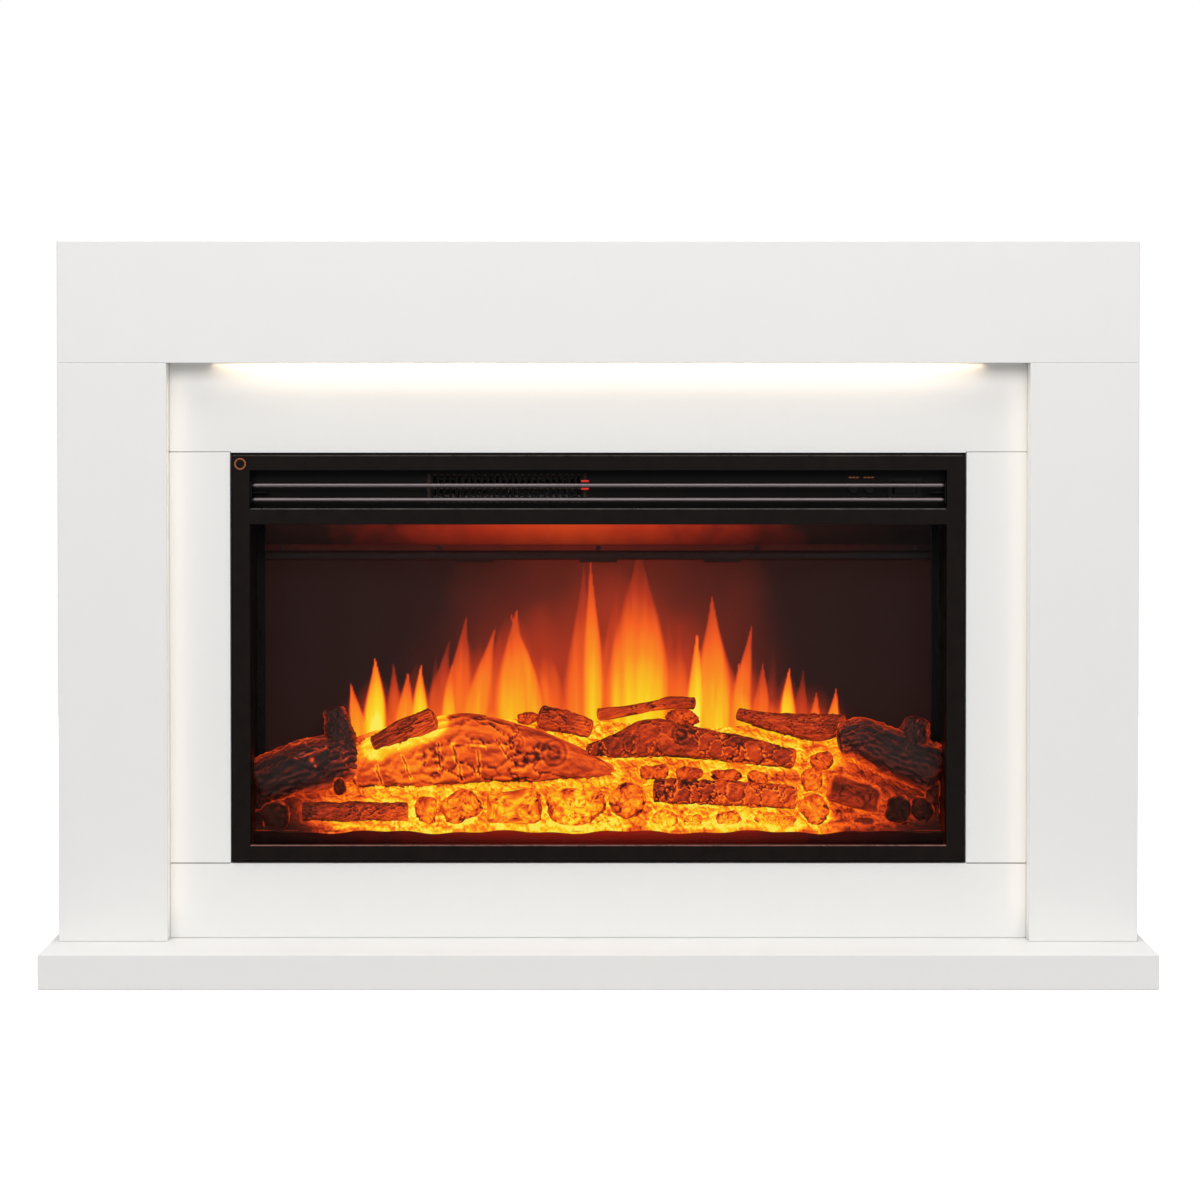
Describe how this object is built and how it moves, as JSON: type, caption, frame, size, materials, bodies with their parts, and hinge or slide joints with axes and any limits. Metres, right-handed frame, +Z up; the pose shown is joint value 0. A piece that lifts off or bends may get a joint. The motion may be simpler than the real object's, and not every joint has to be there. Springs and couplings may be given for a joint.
{
  "type": "electric fireplace",
  "caption": "Freestanding white board surround with a black inset electric fire: glass window, moulded log bed, lit flame screen, fan heater behind louvre rails and mantel downlight.",
  "frame": {"origin": "middle of the floor footprint, at floor level", "axes": "+X along the width to the right seen from the front, +Y towards the wall, +Z up; the front faces -Y"},
  "size_m": [1.26, 0.31, 0.845],
  "materials": {
    "white_board": "satin lacquer on fibreboard",
    "zinc_steel": "zinc plated",
    "led_aluminium": "anodised",
    "led_board": "white board",
    "led_diffuser": "frosted, lit warm white",
    "trim_black": "fine textured powder coat",
    "rail_steel": "satin pewter",
    "inner_black": "matt black",
    "heater_fins": "bare, heat toned",
    "case_steel": "galvanised sheet",
    "impeller_aluminium": "pressed",
    "motor_steel": "satin",
    "button_plastic": "satin",
    "switch_plastic": "semi gloss",
    "circuit_board": "solder mask",
    "window_glass": "clear",
    "flame_screen": "smoked, lit from behind",
    "embers": "rough, lit from inside",
    "charred_log": "rough, charred",
    "bark_log": "rough cracked bark",
    "spinner_foil": "bright foil",
    "gland_plastic": "nylon"
  },
  "bodies": {
    "surround": {"plinth_top": "white_board", "plinth_front": "white_board", "plinth_ends": "white_board", "plinth_rear_rail": "white_board", "left_leg_front": "white_board", "left_leg_sides": "white_board", "right_leg_front": "white_board", "right_leg_sides": "white_board", "mantel_top": "white_board", "mantel_front": "white_board", "mantel_ends": "white_board", "mantel_underside": "white_board", "mantel_rear_rail": "white_board", "led_channel": "led_aluminium", "led_strip": "led_board", "led_diffuser": "led_diffuser", "header_panel": "white_board", "left_infill_panel": "white_board", "right_infill_panel": "white_board", "footer_panel": "white_board", "support_shelf": "white_board", "wall_brackets": "zinc_steel", "assembly_screws": "zinc_steel", "case_screws": "zinc_steel", "trim_frame": "trim_black", "louvre_rails": "rail_steel", "rail_brackets": "inner_black", "control_fascia": "inner_black", "outlet_grille": "inner_black", "heater_element": "heater_fins", "fan_housing": "case_steel", "fan_motor": "motor_steel", "switch_body": "switch_plastic", "control_board": "circuit_board", "light_boards": "circuit_board", "glass_pane": "window_glass", "case_floor": "case_steel", "case_sides": "case_steel", "case_top": "case_steel", "case_rear_cover": "case_steel", "heater_shelf": "case_steel", "side_liners": "inner_black", "screen_rail": "inner_black", "flame_screen": "flame_screen", "bed_tray": "inner_black", "ember_bed": "embers", "left_charred_log": "charred_log", "right_charred_log": "charred_log", "left_main_log": "bark_log", "right_main_log": "bark_log", "upper_logs": "bark_log", "front_logs": "bark_log", "coals": "embers", "spinner_drive": "motor_steel", "mains_gland": "gland_plastic"},
    "fan_rotor": {"fan_impeller": "impeller_aluminium"},
    "spinner": {"flame_spinner": "spinner_foil"},
    "heat_button": {"heat_button": "button_plastic"},
    "flame_button": {"flame_button": "button_plastic"},
    "rocker": {"power_rocker": "switch_plastic"}
  },
  "joints": [
    {"name": "fan_spin", "type": "hinge", "parent": "surround", "child": "fan_rotor", "pos_m": [-0.106, 0.062, 0.5605], "axis": [1, 0, 0], "continuous": true},
    {"name": "spinner_turn", "type": "hinge", "parent": "surround", "child": "spinner", "pos_m": [0, 0.096, 0.2], "axis": [1, 0, 0], "continuous": true},
    {"name": "heat_press", "type": "slide", "parent": "surround", "child": "heat_button", "axis": [0, 1, 0], "range_m": [0, 0.0015], "stiffness_N_per_m": 600},
    {"name": "flame_press", "type": "slide", "parent": "surround", "child": "flame_button", "axis": [0, 1, 0], "range_m": [0, 0.0015], "stiffness_N_per_m": 600},
    {"name": "power_rock", "type": "hinge", "parent": "surround", "child": "rocker", "pos_m": [0.355, -0.0125, 0.561], "axis": [0, 0, 1], "range_deg": [-16, 0]}
  ]
}
